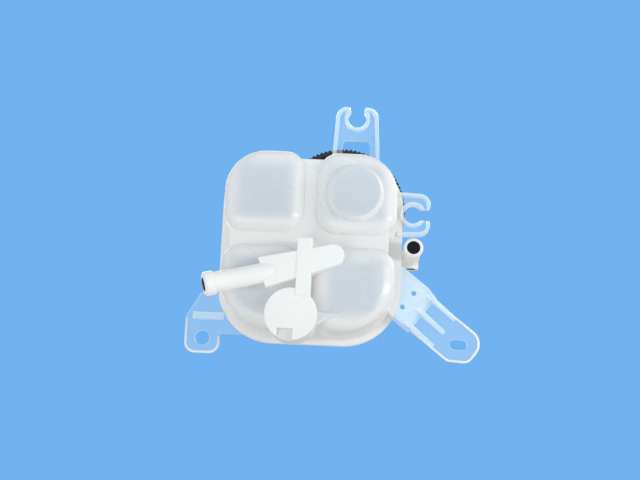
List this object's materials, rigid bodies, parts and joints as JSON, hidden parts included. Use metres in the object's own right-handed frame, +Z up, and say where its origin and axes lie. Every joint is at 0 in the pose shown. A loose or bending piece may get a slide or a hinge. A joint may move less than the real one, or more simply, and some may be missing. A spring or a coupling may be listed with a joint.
{
  "type": "coolant expansion tank",
  "caption": "Translucent four-lobed coolant expansion tank with a welded waist, ribbed screw cap with pressure and vacuum valves, hose spigots, hose clips and fixing lugs.",
  "frame": {"origin": "centre of the round hole in the fixing lug, on the lug's underside", "axes": "+Z up as fitted, along the filler neck; +X from the lug towards the slotted arm; -Y towards the filler neck's side"},
  "size_m": [0.1885, 0.1663, 0.1279],
  "materials": {
    "shell": "milky translucent moulded plastic",
    "cap": "satin black moulded plastic",
    "insert": "dark glass-filled plastic",
    "rubber": "matt black rubber",
    "valve_plate": "turned brass",
    "spring": "drawn stainless wire"
  },
  "bodies": {
    "tank": {"lower_shell": "shell", "upper_shell": "shell", "vent_plug": "rubber"},
    "cap_core": {"valve_housing": "insert", "housing_cover": "insert", "upper_o_ring": "rubber", "lower_o_ring": "rubber", "pressure_spring": "spring"},
    "cap": {"cap_shell": "cap"},
    "pressure_valve": {"pressure_valve": "valve_plate", "pressure_valve_seal": "rubber", "vacuum_spring": "spring"},
    "vacuum_valve": {"vacuum_valve": "valve_plate", "vacuum_retainer": "valve_plate"}
  },
  "joints": [
    {"name": "cap_lift", "type": "slide", "parent": "tank", "child": "cap_core", "axis": [0, 0, 1], "range_m": [0, 0.01]},
    {"name": "cap_turn", "type": "hinge", "parent": "cap_core", "child": "cap", "pos_m": [0.0855, -0.0961, 0.05], "axis": [0, 0, 1], "range_deg": [0, 720]},
    {"name": "pressure_release", "type": "slide", "parent": "cap_core", "child": "pressure_valve", "axis": [0, 0, 1], "range_m": [0, 0.003], "stiffness_N_per_m": 2000, "deforming": ["pressure_spring"]},
    {"name": "vacuum_release", "type": "slide", "parent": "pressure_valve", "child": "vacuum_valve", "axis": [0, 0, -1], "range_m": [0, 0.002], "stiffness_N_per_m": 300, "deforming": ["vacuum_spring"]}
  ],
  "couplings": [
    {"joint": "cap_lift", "follows": "cap_turn", "m_per_rad": 0.00079577}
  ]
}
